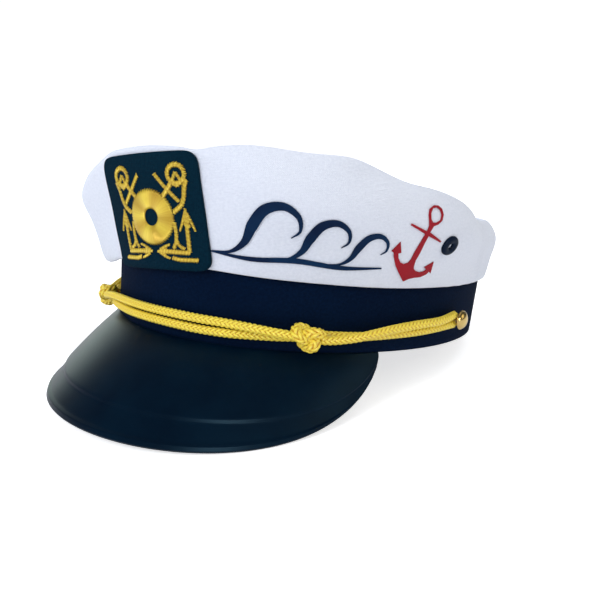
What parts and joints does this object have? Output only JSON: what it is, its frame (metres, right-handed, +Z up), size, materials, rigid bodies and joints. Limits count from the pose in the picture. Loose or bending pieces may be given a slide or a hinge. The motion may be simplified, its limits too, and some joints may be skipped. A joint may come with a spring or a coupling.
{
  "type": "captain hat",
  "caption": "Soft peaked captain hat: flared white crown, navy band, dark visor, gold cord strap with knots and brass buttons, and an embroidered badge patch on the front.",
  "frame": {"origin": "middle of the hat's bounding box, on the surface that it stands on", "axes": "+Z up, -Y the front of the hat, +X the wearer's left"},
  "size_m": [0.2016, 0.2568, 0.1073],
  "materials": {
    "navy_cloth": "matte woven cotton",
    "white_twill": "matte cotton twill",
    "visor_sheet": "satin moulded sheet",
    "patch_cloth": "matte embroidered ground",
    "gold_thread": "satin stitch in lustrous thread",
    "gold_cord": "braided lustrous cord",
    "red_film": "heat-pressed film, satin",
    "navy_film": "heat-pressed film, satin",
    "eyelet_paint": "enamelled, satin",
    "brass": "polished"
  },
  "bodies": {
    "root": {"band": "navy_cloth", "crown_side": "white_twill", "crown_top": "white_twill", "visor": "visor_sheet", "badge_patch": "patch_cloth", "badge_emblem": "gold_thread", "anchor_applique": "red_film", "wave_applique": "navy_film", "cord_front_upper": "gold_cord", "cord_front_lower": "gold_cord", "cord_left_upper": "gold_cord", "cord_left_lower": "gold_cord", "cord_right_upper": "gold_cord", "cord_right_lower": "gold_cord", "knot_left": "gold_cord", "knot_right": "gold_cord", "button_left": "brass", "button_right": "brass", "eyelet_left": "eyelet_paint", "eyelet_right": "eyelet_paint"}
  },
  "joints": []
}
